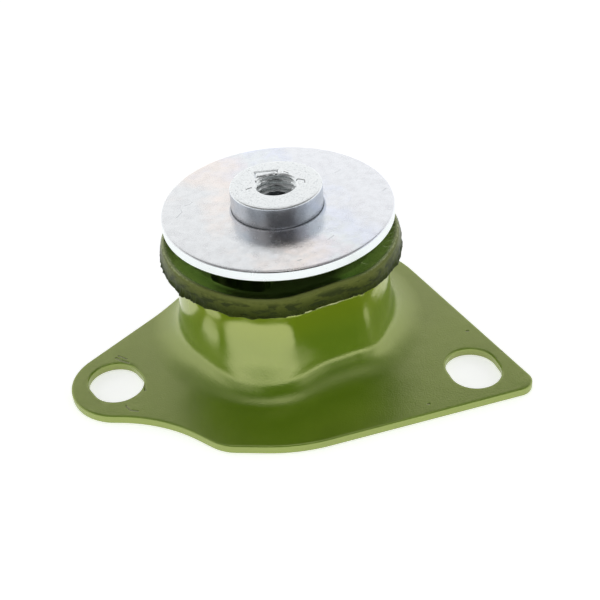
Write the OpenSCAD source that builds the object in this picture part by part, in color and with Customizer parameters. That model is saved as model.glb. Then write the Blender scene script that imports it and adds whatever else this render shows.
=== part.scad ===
// Bonded rubber transmission mount: a pressed steel bracket with an upright cup,
// a moulded rubber body with a rolled lip, a threaded core and a round stop disc.
// The origin is on the core's axis, in the plane of the bracket's underside.
// +X runs along the line of the two slots and -Y is the side towards them.

/* [Plate] */
// Thickness of the sheet in the plate
sheet = 2.2; // [1.6:0.1:3]
// Distance between the middles of the two slots
slot_spacing = 78; // [74:1:90]
// Distance from the core's axis forward to the line of the slots
core_setback = 20; // [18:0.5:24]
// Distance from the core's axis sideways to the midpoint of the slots
slot_shift = 1.7; // [0:0.1:4]
// Width of a slot, for a 10 mm bolt
slot_w = 11.2; // [9:0.2:12]
// Length of a slot from end to end
slot_l = 13.3; // [12.6:0.1:15]
// Direction of the left slot
left_slot_angle = 125; // [95:1:150]
// Direction of the right slot
right_slot_angle = 109; // [80:1:130]
// Metal from the left slot's middle to the rear left edge
left_rear_margin = 10.3; // [9:0.1:14]
// Metal from the left slot's middle to the front edge
left_front_margin = 11.1; // [9:0.1:14]
// Metal from the right slot's middle to the rear right edge
right_rear_margin = 8.8; // [8:0.1:12]
// Metal from the right slot's middle to the front right edge
right_front_margin = 10.1; // [8.5:0.1:12]
// Distance from the core's axis to the front edge
front_reach = 42.2; // [40:0.2:46]
// Radius of the left ear
left_ear_r = 11.4; // [8:0.1:12]
// Radius of the right ear's corner
right_ear_r = 3.3; // [1:0.1:8]
// Radius of the plate behind the cup
rear_r = 28; // [24:0.5:30]

/* [Cup] */
// Radius of the cup's outer wall
cup_r = 23.8; // [22:0.1:25]
// Distance from the axis to the flat on the cup's outer wall
cup_flat = 22.2; // [21:0.1:23]
// Direction that the flat faces
flat_angle = -65; // [-80:1:-50]
// How much lower the rim lies over the flat
flat_drop = 0.3; // [0.1:0.1:0.8]
// Thickness of the cup's drawn wall
wall = 2; // [1.4:0.1:2.6]
// Radius of the bend between the plate and the cup, on its upper side
bend_r = 6; // [3:0.1:7]
// Height of the cup's wall, up to where its rim turns out
cup_h = 22.4; // [18:0.1:30]
// Radius of the turned rim, on its lower side
rim_r = 1.5; // [0.8:0.1:2]
// How far the rim turns out
rim_turn = 70; // [30:5:90]

/* [Rubber] */
// Radius of the rolled lip
lip_r = 2.6; // [2.2:0.1:3.2]
// How far the lip's middle lies outside the cup's wall
lip_out = 0.5; // [0:0.1:1.2]
// How far the lip's lower edge hangs below its middle
lip_drop = 1.2; // [0.6:0.1:1.6]
// How far the lip's underside rises from its outer edge in to the cup's wall
lip_rise = 0.6; // [0.6:0.1:0.9]
// Thickness of the rubber lining inside the cup
lining = 3.5; // [2.5:0.1:5]
// Fall of the rubber's upper face from the lip to the lining's inside
dish_fall = 2.7; // [1:0.1:4]
// Depth of the hollow below the rubber
hollow = 9; // [6:0.5:12]
// Depth of the groove in the rubber's underside
groove = 2.4; // [1:0.1:4]
// Rubber left round the stem beside the groove
sleeve = 1.5; // [1:0.1:2.5]
// Radius of the fillet between the rubber's upper face and the stem
fillet_r = 2.4; // [1:0.1:2.6]
// Inner radius of a void
void_in = 14; // [12.5:0.1:16]
// Outer radius of a void
void_out = 20.6; // [18:0.1:21]
// Angle that a void takes up
void_angle = 45; // [30:1:70]
// Direction of the first void
void_start = -118; // [-140:1:-100]

/* [Core] */
// Radius of the core above the stop disc
bush_r = 10; // [8:0.1:11]
// Height of the core above the stop disc
bush_h = 5; // [3:0.1:12]
// Radius of the core's stem below the stop disc
stem_r = 11; // [10.5:0.1:12.5]
// Radius of the threaded bore's wall
bore_r = 4.25; // [3:0.05:5]
// Depth of the threaded bore
bore_depth = 24; // [12:0.5:28]
// Chamfer at the mouth of the bore
bore_chamfer = 0.3; // [0.1:0.05:1]
// Radius of the rounded outer edges of the core
bush_round = 0.5; // [0.1:0.1:1.5]

/* [Stop disc] */
// Radius of the stop disc
disc_r = 25.3; // [22:0.1:28]
// Thickness of the stop disc
disc_t = 2.5; // [1.5:0.1:4]
// Radius of the stop disc's rounded edges
disc_round = 0.6; // [0.1:0.1:0.7]
// Clear height between the lip and the stop disc
stop_gap = 3.9; // [2:0.1:6]

/* [Fits] */
// Clearance between the core and the stop disc, per side
disc_fit = 0.01; // [0.01:0.01:0.05]
// Thickness of the bond between the rubber and the core
bond = 0.02; // [0.01:0.01:0.1]

/* [Hidden] */
$fn = 96;
// Longer than any piece, for cuts that run right through
far = 200;
// Fewest steps round the bend, the lip and the lip's inner side
bend_steps = 8;
lip_steps = 11;
dish_steps = 2;

// Directions of the plate's edges, as the angle of each outward normal
rear_left_angle = 140.6;
front_left_angle = -93.5;
front_angle = -94;
rear_right_angle = 28.9;
// The front edge's two ends, left and right of the axis
front_start = -12.57;
front_end = 3.3;
// Distance along the left ear's front edge from its slot to the flank
flank_start = 12.2;
// Lengths that the front's three round corners take off their edges, from the left ear on
hollow_run = 9.62;
shoulder_run = 2.87;
front_run = 6.71;
// The directions of the cone at the bore's end and of the lip's inner side
drill_angle = 31;
ridge_angle = 112;
// Small overlap where one form runs into another
bite = 0.1;
// Part of a void's end that is left out at each side
void_seam = 15;
// How far the planes that soften the flat's two sides turn from the flat, and how much they cut
soft_turn = 16;
soft_cut = 0.27;
soft_share = 0.5;

left_slot = [slot_shift - slot_spacing / 2, -core_setback];
right_slot = [slot_shift + slot_spacing / 2, -core_setback];

// The lip's middle lies over the rim's turned end
lip_lift = rim_r + lip_rise;
lip_z = cup_h + lip_lift;
lip_top = lip_z + lip_r;
disc_z = lip_top + stop_gap;
disc_top = disc_z + disc_t;
bush_top = disc_top + bush_h;
stem_bottom = hollow;
dish_z = lip_top - dish_fall;

function unit(a) = [cos(a), sin(a)];
// A plate edge: its direction, its distance from the axis and the radius of the corner after it
function edge(a, p, margin, r) = [a, p * unit(a) + margin, r];
// Where two lines meet, each given by its normal's angle and its distance from the axis
function meet(a, da, b, db) = [da * sin(b) - db * sin(a), db * cos(a) - da * cos(b)] / sin(b - a);
function turn(a, b) = ((b - a + 540) % 360) - 180;
// Points of a round corner between two edges, hollow where its radius is negative
function corner(e, f) =
    let (
        c = meet(e[0], e[1] - e[2], f[0], f[1] - e[2]),
        t = turn(e[0], f[0]),
        n = max(2, ceil(abs(t) / 6))
    )
    [for (i = [0 : n]) c + e[2] * unit(e[0] + t * i / n)];
// Radius of a round corner between two directions that takes a given length off its edges
function corner_r(a, b, run) = run / tan(abs(turn(a, b)) / 2);
// The point of the front edge at x
function on_front(x) = [x, (front_reach - x * cos(front_angle)) / sin(front_angle)];
// Points of an arc about c
function arc(c, r, from, to, n) = [for (i = [0 : n]) c + r * unit(from + (to - from) * i / n)];

// The flank runs from the ear's front edge to the front edge
flank_point = left_slot + left_front_margin * unit(front_left_angle)
    + flank_start * unit(front_left_angle + 90);
flank = on_front(front_start) - flank_point;
flank_angle = atan2(-flank[0], flank[1]);
// The front right edge runs from the front edge past the right slot
to_slot = right_slot - on_front(front_end);
front_right_angle = atan2(to_slot[1], to_slot[0]) - acos(-right_front_margin / norm(to_slot));

edges = [
    edge(rear_left_angle, left_slot, left_rear_margin, left_ear_r),
    edge(front_left_angle, left_slot, left_front_margin, -corner_r(front_left_angle, flank_angle, hollow_run)),
    edge(flank_angle, flank_point, 0, corner_r(flank_angle, front_angle, shoulder_run)),
    edge(front_angle, [0, 0], front_reach, corner_r(front_angle, front_right_angle, front_run)),
    edge(front_right_angle, right_slot, right_front_margin, right_ear_r),
    edge(rear_right_angle, right_slot, right_rear_margin, rear_r)
];
outline = [for (i = [0 : len(edges) - 1]) each corner(edges[i], edges[(i + 1) % len(edges)])];

// The cup's walls: direction, distance from the axis, how much lower the rim is and further steps.
// The first is the round, the others are planes cut into it. Their own bends and steps keep
// their corners apart.
walls = [
    [0, cup_r, 0, 2],
    [flat_angle, cup_flat, flat_drop, 0],
    [flat_angle - soft_turn, cup_r - soft_cut, flat_drop * soft_share, 1],
    [flat_angle + soft_turn, cup_r - soft_cut, flat_drop * soft_share, 1]
];

// A round form with planes cut into it, each given by its side's line from the bottom up
module cup_form(sides) {
    side = sides[0];
    difference() {
        rotate_extrude() polygon(concat([[0, side[0][1]]], side, [[0, side[len(side) - 1][1]]]));
        for (i = [1 : len(sides) - 1]) plane_cut(walls[i][0], sides[i]);
    }
}

module plane_cut(angle, side) {
    below = side[0][1] - 1;
    rotate([0, 0, angle])
        translate([0, far / 2, 0])
            rotate([90, 0, 0])
                linear_extrude(far)
                    polygon(concat(
                        [[side[0][0], below]],
                        side,
                        [[side[len(side) - 1][0], far], [far, far], [far, below]]
                    ));
}

// The sheet's upper and outer face, from inside the plate up to the end of the turned rim.
// r is the wall's distance from the axis, drop how much lower its rim is and n the steps of its bend.
function outer_side(r, drop, n) =
    let (
        b = bend_r - drop / 3,
        rim = [r + rim_r, cup_h - drop],
        end = 180 - rim_turn
    )
    concat(
        [[r + b, sheet / 2], [r + b, sheet - bite / 2]],
        arc([r + b, sheet + b], b, 270 - 90 / n, 180, n - 1),
        arc(rim, rim_r, 180, end, ceil(n / 2)),
        [rim + (rim_r + wall) * unit(end)]
    );

// The sheet's lower and inner face, from below the plate up past the rim
function inner_side(r, drop, n) =
    let (
        b = bend_r - drop / 3,
        rim = [r + rim_r, cup_h - drop],
        end = 180 - rim_turn
    )
    concat(
        [[r + b, -sheet / 2], [r + b, -bite / 2]],
        [
            for (i = [1 : n])
                [r + b + (b + wall) * cos(270 - 90 * i / n), sheet + b + (b + sheet) * sin(270 - 90 * i / n)]
        ],
        arc(rim, rim_r + wall, 180, end, ceil(n / 2)),
        [rim + [(rim_r + wall) * cos(end), cup_h]]
    );

// The outside of the rubber: bonded inside the wall, then the rolled lip's bead over the rim
function lip_side(r, drop, n) =
    let (low = asin(lip_drop / lip_r), bead = [r + lip_out, lip_z - drop])
    concat(
        [[r - wall / 2, hollow], [r - wall / 2, bead[1] - lip_drop + lip_rise]],
        arc(bead, lip_r, -low, 90, n)
    );

// The rubber's dished upper face, from the lining's inside up to the top of the bead
function dish_side(r, drop, n) =
    let (bead = [r + lip_out, lip_z - drop])
    concat(
        [[r - wall - lining, bead[1] + lip_r - dish_fall]],
        arc(bead, lip_r, ridge_angle, 90, n),
        [bead + [0, cup_h]]
    );

// The cup's sheet as a whole form, and the space inside it
module sheet_form() {
    cup_form([for (w = walls) outer_side(w[1], w[2], bend_steps + w[3])]);
}

module cavity() {
    cup_form([for (w = walls) inner_side(w[1], w[2], bend_steps + w[3])]);
}

// A slot in the plate
module slot(p, angle) {
    translate(p) rotate([0, 0, angle]) {
        square([slot_l - slot_w, slot_w], center = true);
        for (side = [-1, 1])
            translate([side * (slot_l - slot_w) / 2, 0]) circle(d = slot_w);
    }
}

module flange_cup() {
    color([0.42, 0.5, 0.2])
        difference() {
            union() {
                intersection() {
                    sheet_form();
                    linear_extrude(bush_top) polygon(outline);
                }
                linear_extrude(sheet) difference() {
                    polygon(outline);
                    slot(left_slot, left_slot_angle);
                    slot(right_slot, right_slot_angle);
                }
            }
            cavity();
        }
}

// A kidney-shaped void through the rubber, with round ends. The arcs of the ends leave out a part
// next to the long arcs, so that no two corners fall together.
module void_hole(angle) {
    mid = (void_in + void_out) / 2;
    half = (void_out - void_in) / 2;
    end = void_angle / 2 - asin(half / mid);
    rotate([0, 0, angle])
        linear_extrude(bush_top)
            polygon(concat(
                arc([0, 0], void_out, -end, end, 6),
                arc(mid * unit(end), half, end + void_seam, end + 180 - void_seam, 10),
                arc([0, 0], void_in, end, -end, 5),
                arc(mid * unit(-end), half, 180 + void_seam - end, 360 - void_seam - end, 10)
            ));
}

// The fillet between the rubber's upper face and the stem at r
module stem_fillet(r) {
    rotate_extrude()
        polygon(concat(
            [[r, dish_z - fillet_r]],
            arc([r + fillet_r, dish_z + fillet_r - bite], fillet_r, 180, 270, 4),
            [[r + fillet_r, dish_z - fillet_r]]
        ));
}

// The groove in the rubber's underside, between the sleeve on the stem at r and the lining
module under_groove(r) {
    side = cup_flat - wall;
    rotate_extrude()
        polygon([
            [r + sleeve, hollow - bite],
            [r + 2 * sleeve, hollow + groove],
            [side - groove - sleeve, hollow + groove],
            [side - sleeve, hollow - bite]
        ]);
}

module rubber_body() {
    r = stem_r + bond;
    color([0.2, 0.22, 0.12])
        difference() {
            union() {
                difference() {
                    cup_form([for (w = walls) lip_side(w[1], w[2], lip_steps + w[3])]);
                    cup_form([for (w = walls) dish_side(w[1], w[2], dish_steps + w[3])]);
                }
                stem_fillet(r);
            }
            difference() {
                sheet_form();
                cavity();
            }
            under_groove(r);
            cylinder(r = r, h = bush_top);
            for (i = [0 : 2]) void_hole(void_start + 120 * i);
        }
}

module core_bush() {
    color([0.72, 0.75, 0.78])
        rotate_extrude()
            polygon(concat(
                [[0, stem_bottom], [stem_r - bush_round, stem_bottom], [stem_r, stem_bottom + bush_round]],
                [[stem_r, disc_z], [bush_r, disc_z]],
                arc([bush_r - bush_round, bush_top - bush_round], bush_round, 0, 90, 5),
                [[bore_r + bore_chamfer, bush_top], [bore_r, bush_top - bore_chamfer]],
                [[bore_r, bush_top - bore_depth], [0, bush_top - bore_depth - bore_r * tan(drill_angle)]]
            ));
}

module stop_disc() {
    inner = bush_r + disc_fit;
    rim = disc_r - disc_round;
    color([0.86, 0.86, 0.9])
        rotate_extrude()
            polygon(concat(
                [[inner, disc_z]],
                arc([rim, disc_z + disc_round], disc_round, -90, 0, 5),
                arc([rim, disc_top - disc_round], disc_round, 0, 90, 5),
                [[inner, disc_top]]
            ));
}

flange_cup();
rubber_body();
core_bush();
stop_disc();
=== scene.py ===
# Looks of a bonded rubber transmission mount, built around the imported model.
# Lengths are named in millimetres and become metres where a mesh is made.
import functools
from math import asin, atan, atan2, ceil, cos, degrees, exp, hypot
from math import inf, pi, radians, remainder, sin, sqrt, tan, tau

import bmesh
import bpy
import numpy as np
from mathutils import Matrix, Vector, geometry, noise


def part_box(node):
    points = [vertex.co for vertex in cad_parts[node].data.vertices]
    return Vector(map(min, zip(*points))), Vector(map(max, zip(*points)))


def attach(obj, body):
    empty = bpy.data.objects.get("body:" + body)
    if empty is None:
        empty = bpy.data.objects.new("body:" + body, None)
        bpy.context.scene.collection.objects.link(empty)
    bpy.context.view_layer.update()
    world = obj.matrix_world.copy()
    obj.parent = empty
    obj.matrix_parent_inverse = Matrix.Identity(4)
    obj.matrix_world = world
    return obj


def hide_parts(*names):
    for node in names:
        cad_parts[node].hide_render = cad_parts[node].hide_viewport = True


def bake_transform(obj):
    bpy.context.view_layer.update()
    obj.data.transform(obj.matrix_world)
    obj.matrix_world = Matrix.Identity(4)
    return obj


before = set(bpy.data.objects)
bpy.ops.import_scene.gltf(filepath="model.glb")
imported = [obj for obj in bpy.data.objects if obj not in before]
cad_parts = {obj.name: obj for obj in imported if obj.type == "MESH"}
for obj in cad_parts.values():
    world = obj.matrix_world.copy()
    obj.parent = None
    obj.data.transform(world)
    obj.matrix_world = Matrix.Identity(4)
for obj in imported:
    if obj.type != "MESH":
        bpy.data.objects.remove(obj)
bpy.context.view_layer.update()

MM = 0.001


# Sizes that the frame gives
def extent(node):
    """A node's reach along x, its foot and its top."""
    low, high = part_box(node)
    return high[0] / MM, low[2] / MM, high[2] / MM


def in_radians(*angles):
    return [radians(a) for a in angles]


STEM_R, CORE_FOOT, CORE_TOP = extent("core_bush")
DISC_R, DISC_FOOT, DISC_TOP = extent("stop_disc")
_, RUBBER_FOOT, LIP_TOP = extent("rubber_body")

# Plate
SHEET = 2.2
SLOT_W = 11.2
SLOT_L = 13.3
LEFT_SLOT = (-37.3, -20.0)
RIGHT_SLOT = (40.7, -20.0)
LEFT_SLOT_ANGLE, RIGHT_SLOT_ANGLE = in_radians(125, 109)
EDGE_IN = 0.5
EDGE_TOP = 0.35
EDGE_FOOT = 0.6

# Meshes: spacing of the points inside a filled face, smallest triangle that is kept, distance
# in metres within which points are merged, halvings of a search, and angle of a sharp edge
FILL_STEP = 3.0
LEAST_AREA = 1e-5
MERGE_WITHIN = 1e-7
HALVINGS = 40
SHARP_ANGLE = radians(50)

# Cup
CUP_R = 23.8
CUP_FLAT = 22.2
CORNER_R = 9.0
FLAT_ANGLE = radians(-65)
WALL = 2.0
BEND_OUT = 8.0
BEND_RISE = 5.0
CUP_H = 22.4

# How far the wall stands out at these heights: at the sides and rear, in front, and on the flat
WALL_Z = (7.0, 9.0, 11.0, 13.0, 15.0, 17.0, 18.5, 19.5, 20.5, 21.5, CUP_H)
SIDE_OUT = (0.60, 0.44, 0.27, 0.11, -0.05, -0.20, -0.30, -0.30, -0.18, -0.05, 0.0)
FRONT_OUT = (2.30, 1.45, 0.86, 0.44, 0.13, -0.09, -0.17, -0.14, -0.06, 0.01, 0.0)
FLAT_OUT = (0.30, 0.12, 0.00, -0.08, -0.12, -0.02, 0.16, 0.31, 0.46, 0.44, 0.0)

# Bearings in degrees between which the wall turns from side to front, from front to flat and from
# flat to side, how much sooner and later that is at the foot, and the heights of this change
TO_FRONT = (-138, -104, 0, 0)
TO_FLAT = (-89, -78, 11, 14)
TO_SIDE = (-45, -33, 6, 10)
SOFT_FOOT = 7.0
SOFT_TOP = 15.0

# The rim's turn, and the round corners beside the flat side
RIM_R = 1.5
RIM_TURN = radians(70)
CORNER_ALONG = CUP_FLAT - CORNER_R
CORNER_ASIDE = sqrt((CUP_R - CORNER_R) ** 2 - CORNER_ALONG ** 2)
CORNER_TURN = atan2(CORNER_ASIDE, CORNER_ALONG)

# Rubber
LIP_FOOT = 23.0

# Clumps and notches of the lip's flash: bearing and width in degrees, and how far out
CLUMPS = (
    (-140, 5, 0.30), (-125, 3, 0.25), (-110, 6, 0.35), (-101, 3, 0.40),
    (-20, 4, 0.2), (0, 3, -0.35), (177, 3, 0.3),
)
WRINKLE_START, WRINKLE_END = in_radians(-6, 20)
VOID_IN = 14.0
VOID_OUT = 20.6
VOID_HALF = radians(22.5)
VOID_MID = (VOID_IN + VOID_OUT) / 2
VOID_ROUND = (VOID_OUT - VOID_IN) / 2
VOID_END = VOID_HALF - asin(VOID_ROUND / VOID_MID)
VOID_START = radians(-118)

# Clearance at bonded faces, and the lining's least thickness beside a void
BOND = 0.02
LINING_LEAST = 1.1

# Core and disc
BUSH_R = 10.0
BORE_R = 4.25
BORE_DEPTH = 24.0
THREAD_PITCH = 1.5
THREAD_DEPTH = 0.85
BORE_CHAMFER = 0.3
BORE_CONE = 0.6

# Light tent: its level is 1 low down, falls to TENT_TOP between two elevations and rises again
# overhead; in front it is dimmer, and dimmest in the gap where the camera stands
TENT_BRIGHT, TENT_DARK = in_radians(38, 44)
TENT_TOP = 0.22
ZENITH_START, ZENITH_END = in_radians(70, 77)
ZENITH_LEVEL = 0.9
FRONT_LEVEL = 0.45
GAP_START, GAP_END, GAP_SOFT = in_radians(-26, 47, 5)
GAP_LEVEL = 0.12

# Floor: half its side and its drop below the plate in metres, its glow to the camera and in reflections
FLOOR_HALF = 3.0
FLOOR_DROP = 0.00005
FLOOR_GLOW = 0.62
FLOOR_MIRRORED = 0.74

# Soft boxes: name, place, width and height in metres, and power
SOFTBOXES = (
    ("left_softbox", (-0.62, -0.64, 0.14), (0.5, 0.26), 2.9),
    ("right_softbox", (0.66, -0.56, 0.14), (0.5, 0.26), 2.6),
)
SOFTBOX_AIM = (0, 0, 0.02)

# Camera, placed as the photo shows
CAMERA_AT = (15.4, -207.9, 162.5)
CAMERA_AZIMUTH, CAMERA_ELEVATION, CAMERA_ROLL = in_radians(3.35, 36.66, -4.48)
CAMERA_LENS = 68.0
CAMERA_SENSOR = 36


def unit(angle):
    return np.array([cos(angle), sin(angle)])


def arc(centre, radius, start, end, steps):
    """Points of an arc, its angles in radians."""
    return [np.array(centre) + radius * unit(a) for a in np.linspace(start, end, steps + 1)]


def cup_reach(angle, out):
    """Distance from the axis, in one direction, to the cup's wall line moved out by out."""
    turn = abs(remainder(angle - FLAT_ANGLE, tau))
    if turn >= CORNER_TURN:
        return CUP_R + out
    if (CUP_FLAT + out) * tan(turn) <= CORNER_ASIDE:
        return (CUP_FLAT + out) / cos(turn)
    along = CORNER_ALONG * cos(turn) + CORNER_ASIDE * sin(turn)
    return along + sqrt((CORNER_R + out) ** 2 - (CUP_R - CORNER_R) ** 2 + along ** 2)


class Skin:
    """The points, in millimetres, and faces of one closed surface."""

    def __init__(self):
        self.points = []
        self.faces = []
        self.values = {}

    def row(self, points):
        first = len(self.points)
        self.points += [tuple(float(c) for c in p) for p in points]
        return list(range(first, len(self.points)))

    def bands(self, rows):
        """Faces between each row and the next, all the way round."""
        for a, b in zip(rows, rows[1:]):
            for i in range(len(a)):
                j = (i + 1) % len(a)
                self.faces.append((a[i], a[j], b[j], b[i]))

    def fan(self, row, point):
        tip = self.row([point])[0]
        for i in range(len(row)):
            self.faces.append((row[i], row[(i + 1) % len(row)], tip))

    def fill(self, loops, height, spots=None, step=FILL_STEP):
        """Fills the region inside the first loop and outside the others, at a height for each place."""
        rings = [[Vector(self.points[i][:2]) for i in loop] for loop in loops]
        indices = [i for loop in loops for i in loop]
        flat = [p for ring in rings for p in ring]
        edges = []
        first = 0
        for ring in rings:
            edges += [(first + i, first + (i + 1) % len(ring)) for i in range(len(ring))]
            first += len(ring)
        starts = np.array([list(flat[a]) for a, _ in edges])
        spans = np.array([list(flat[b]) for _, b in edges]) - starts
        if spots is None:
            low, high = starts.min(axis=0), starts.max(axis=0)
            columns = np.arange(low[0] + step / 2, high[0], step)
            spots = [(x, y) for x in columns for y in np.arange(low[1] + step / 2, high[1], step)]
        clear = [p for p in spots if clearance(p, starts, spans) > step / 2]
        extra = [Vector(p) for p in clear if in_region(p, rings)]
        indices += self.row([(p.x, p.y, height(p.x, p.y)) for p in extra])
        points, _, faces, origin, _, _ = geometry.delaunay_2d_cdt(flat + extra, edges, [], 0, 1e-6)
        for face in faces:
            corners = [points[i] for i in face]
            middle = sum(corners, Vector((0, 0))) / len(face)
            wide = abs(geometry.area_tri(*(c.to_3d() for c in corners[:3]))) > LEAST_AREA
            if wide and in_region(middle, rings):
                self.faces.append(tuple(indices[origin[i][0]] for i in face))


def clearance(point, starts, spans):
    """Distance from a point to the nearest of some segments."""
    offsets = np.array(point) - starts
    shares = np.clip(np.sum(offsets * spans, axis=1) / np.sum(spans * spans, axis=1), 0, 1)
    return np.min(np.linalg.norm(offsets - spans * shares[:, None], axis=1))


def in_region(point, rings):
    """Whether a point lies inside the first ring and outside the others, by crossings."""
    x, y = point
    inside = False
    for ring in rings:
        for a, b in zip(ring, ring[1:] + ring[:1]):
            if (a[1] > y) != (b[1] > y) and x < a[0] + (y - a[1]) * (b[0] - a[0]) / (b[1] - a[1]):
                inside = not inside
    return inside


def put_in_scene(name, data):
    made = bpy.data.objects.new(name, data)
    bpy.context.scene.collection.objects.link(made)
    return made


def make_piece(name, skin, material, body=None, replaced=None):
    """A mesh piece from a skin, smooth but for its sharp edges, riding on a body where one is named."""
    mesh = bpy.data.meshes.new(name)
    mesh.from_pydata([tuple(c * MM for c in p) for p in skin.points], [], skin.faces)
    for label, values in skin.values.items():
        mesh.attributes.new(label, "FLOAT", "POINT").data.foreach_set("value", values)
    piece = put_in_scene(name, mesh)
    face_outwards(mesh)
    mesh.shade_smooth()
    mesh.set_sharp_from_angle(angle=SHARP_ANGLE)
    weighted = piece.modifiers.new("even_normals", "WEIGHTED_NORMAL")
    weighted.keep_sharp = True
    mesh.materials.append(material)
    if body:
        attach(piece, body)
    if replaced:
        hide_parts(replaced)
    return piece


def face_outwards(mesh):
    """Merges the points that coincide and turns every face outwards."""
    work = bmesh.new()
    work.from_mesh(mesh)
    bmesh.ops.remove_doubles(work, verts=work.verts, dist=MERGE_WITHIN)
    bmesh.ops.recalc_face_normals(work, faces=work.faces)
    work.to_mesh(mesh)
    work.free()


# Plate's outline, from its edges: the angle of each outward normal, the distance from the axis
# and the radius of the corner after it, below zero where the corner is hollow
def edge(angle, point, margin, radius):
    angle = radians(angle)
    return angle, float(np.dot(point, unit(angle))) + margin, radius


FRONT_REACH = 42.2
PLATE_EDGES = [
    edge(140.6, LEFT_SLOT, 10.3, 11.4),
    edge(-93.5, LEFT_SLOT, 11.1, -33),
    edge(-126, (0, 0), FRONT_REACH - 1.3, 10),
    edge(-94, (0, 0), FRONT_REACH, 35),
    edge(-72.3, RIGHT_SLOT, 10.1, 3.3),
    edge(28.9, RIGHT_SLOT, 8.8, 28),
]
OUTLINE_STEP = 1.0
OUTLINE_TURN = 0.06
LEAST_STEPS = 4
SLOT_END_POINTS = 40


def meet(a, da, b, db):
    """Where two lines meet, each given by its normal's angle and its distance from the axis."""
    return np.linalg.solve(np.array([unit(a), unit(b)]), np.array([da, db]))


def plate_outline():
    """Points of the plate's outline with their outward normals, anticlockwise."""
    corners = []
    for e, f in zip(PLATE_EDGES, PLATE_EDGES[1:] + PLATE_EDGES[:1]):
        radius = e[2]
        centre = meet(e[0], e[1] - radius, f[0], f[1] - radius)
        turn = remainder(f[0] - e[0], tau)
        by_length, by_turn = abs(turn * radius) / OUTLINE_STEP, abs(turn) / OUTLINE_TURN
        steps = max(LEAST_STEPS, ceil(by_length), ceil(by_turn))
        angles = [e[0] + turn * i / steps for i in range(steps + 1)]
        corners.append([(centre + radius * unit(a), unit(a)) for a in angles])
    outline = []
    for corner, after in zip(corners, corners[1:] + corners[:1]):
        outline += corner
        start, normal = corner[-1]
        span = after[0][0] - start
        steps = max(1, ceil(np.hypot(*span) / OUTLINE_STEP))
        outline += [(start + span * i / steps, normal) for i in range(1, steps)]
    return outline


def slot_outline(centre, angle):
    """Points of a slot with normals into the hole, anticlockwise."""
    half = (SLOT_L - SLOT_W) / 2
    points = []
    for side in (0, pi):
        middle = np.array(centre) + half * unit(angle + side)
        for a in np.linspace(-pi / 2, pi / 2, SLOT_END_POINTS):
            out = unit(angle + side + a)
            points.append((middle + SLOT_W / 2 * out, -out))
    return points


def ease(value, low, high):
    """Smooth rise from 0 to 1 while a value goes from low to high."""
    share = min(1.0, max(0.0, (value - low) / (high - low)))
    return share * share * (3 - 2 * share)


def turned(turn, window, soft):
    """How far a turn of the wall has come at a bearing, soft being 1 at the foot."""
    start, end, sooner, later = window
    return ease(turn, start - sooner * soft, end + later * soft)


def side_shares(angle, z):
    """How far the wall is the front's and the flat's at a height."""
    turn = degrees(remainder(angle, tau))
    soft = ease(-z, -SOFT_TOP, -SOFT_FOOT)
    past = turned(turn, TO_SIDE, soft)
    flat = turned(turn, TO_FLAT, soft) * (1 - past)
    return turned(turn, TO_FRONT, soft) * (1 - flat) * (1 - past), flat


@functools.lru_cache(maxsize=None)
def wall_knots(angle):
    """The wall's offsets at one angle, and their slopes."""
    offsets = []
    for z, side, nose, level in zip(WALL_Z, SIDE_OUT, FRONT_OUT, FLAT_OUT):
        front, flat = side_shares(angle, z)
        offsets.append(side * (1 - front - flat) + nose * front + level * flat)
    return offsets, np.gradient(offsets, WALL_Z)


def wall_out(z, angle):
    """How far the wall stands out at a height, with its flare under the rim."""
    offsets, slopes = wall_knots(angle)
    i = min(len(WALL_Z) - 2, max(0, int(np.searchsorted(WALL_Z, z)) - 1))
    span_z = WALL_Z[i + 1] - WALL_Z[i]
    t = (z - WALL_Z[i]) / span_z
    if t < 0:
        return offsets[0] + slopes[0] * (z - WALL_Z[0])
    start, end = offsets[i], offsets[i + 1]
    rise, fall = slopes[i] * span_z, slopes[i + 1] * span_z
    curve = (2 * start - 2 * end + rise + fall) * t ** 3 + (3 * end - 3 * start - 2 * rise - fall) * t ** 2
    return curve + rise * t + start


@functools.lru_cache(maxsize=None)
def bend_start(angle):
    """Where the bend leaves the wall: its turn past upright, and the bend's half width."""
    offsets, slopes = wall_knots(angle)
    turn = atan(-slopes[0] * BEND_RISE / (BEND_OUT - offsets[0]))
    foot = wall_out(SHEET + BEND_RISE * (1 - sin(turn)), angle)
    return turn, (BEND_OUT - foot) / cos(turn)


def halve(low, high, holds):
    """Closes in on the value between low and high where a test that holds at low fails."""
    for _ in range(HALVINGS):
        mid = (low + high) / 2
        if holds(mid):
            low = mid
        else:
            high = mid
    return (low + high) / 2


def bend_angle(angle, radius, under):
    """How far down the bend, from pi at the wall to 1.5 pi at the plate, a radius lies."""
    turn, side = bend_start(angle)
    side += WALL if under else 0.0

    def short(down):
        return cup_reach(angle, BEND_OUT + side * cos(down)) < radius

    return halve(pi + turn, 1.5 * pi, short)


def bend_point(angle, turn, under):
    """A point on the bend's upper face, or on its lower one."""
    side = bend_start(angle)[1] + (WALL if under else 0.0)
    rise = BEND_RISE + (SHEET if under else 0.0)
    radius = cup_reach(angle, BEND_OUT + side * cos(turn))
    return (*(radius * unit(angle)), SHEET + BEND_RISE + rise * sin(turn))


def sheet_height(point, under):
    """Height of the sheet's upper or lower face at a point of the plan."""
    angle = atan2(point[1], point[0])
    radius = hypot(*point)
    if radius >= cup_reach(angle, BEND_OUT):
        return 0.0 if under else SHEET
    return bend_point(angle, bend_angle(angle, radius, under), under)[2]


ROUND_STEPS = 480
BEND_STEPS = 22
WALL_STEPS = 25
RIM_STEPS = 8
EDGE_STEPS = 5
TINY = 1e-9
PARALLEL = 1e-12
CUT_MARGIN = 0.01


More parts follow.
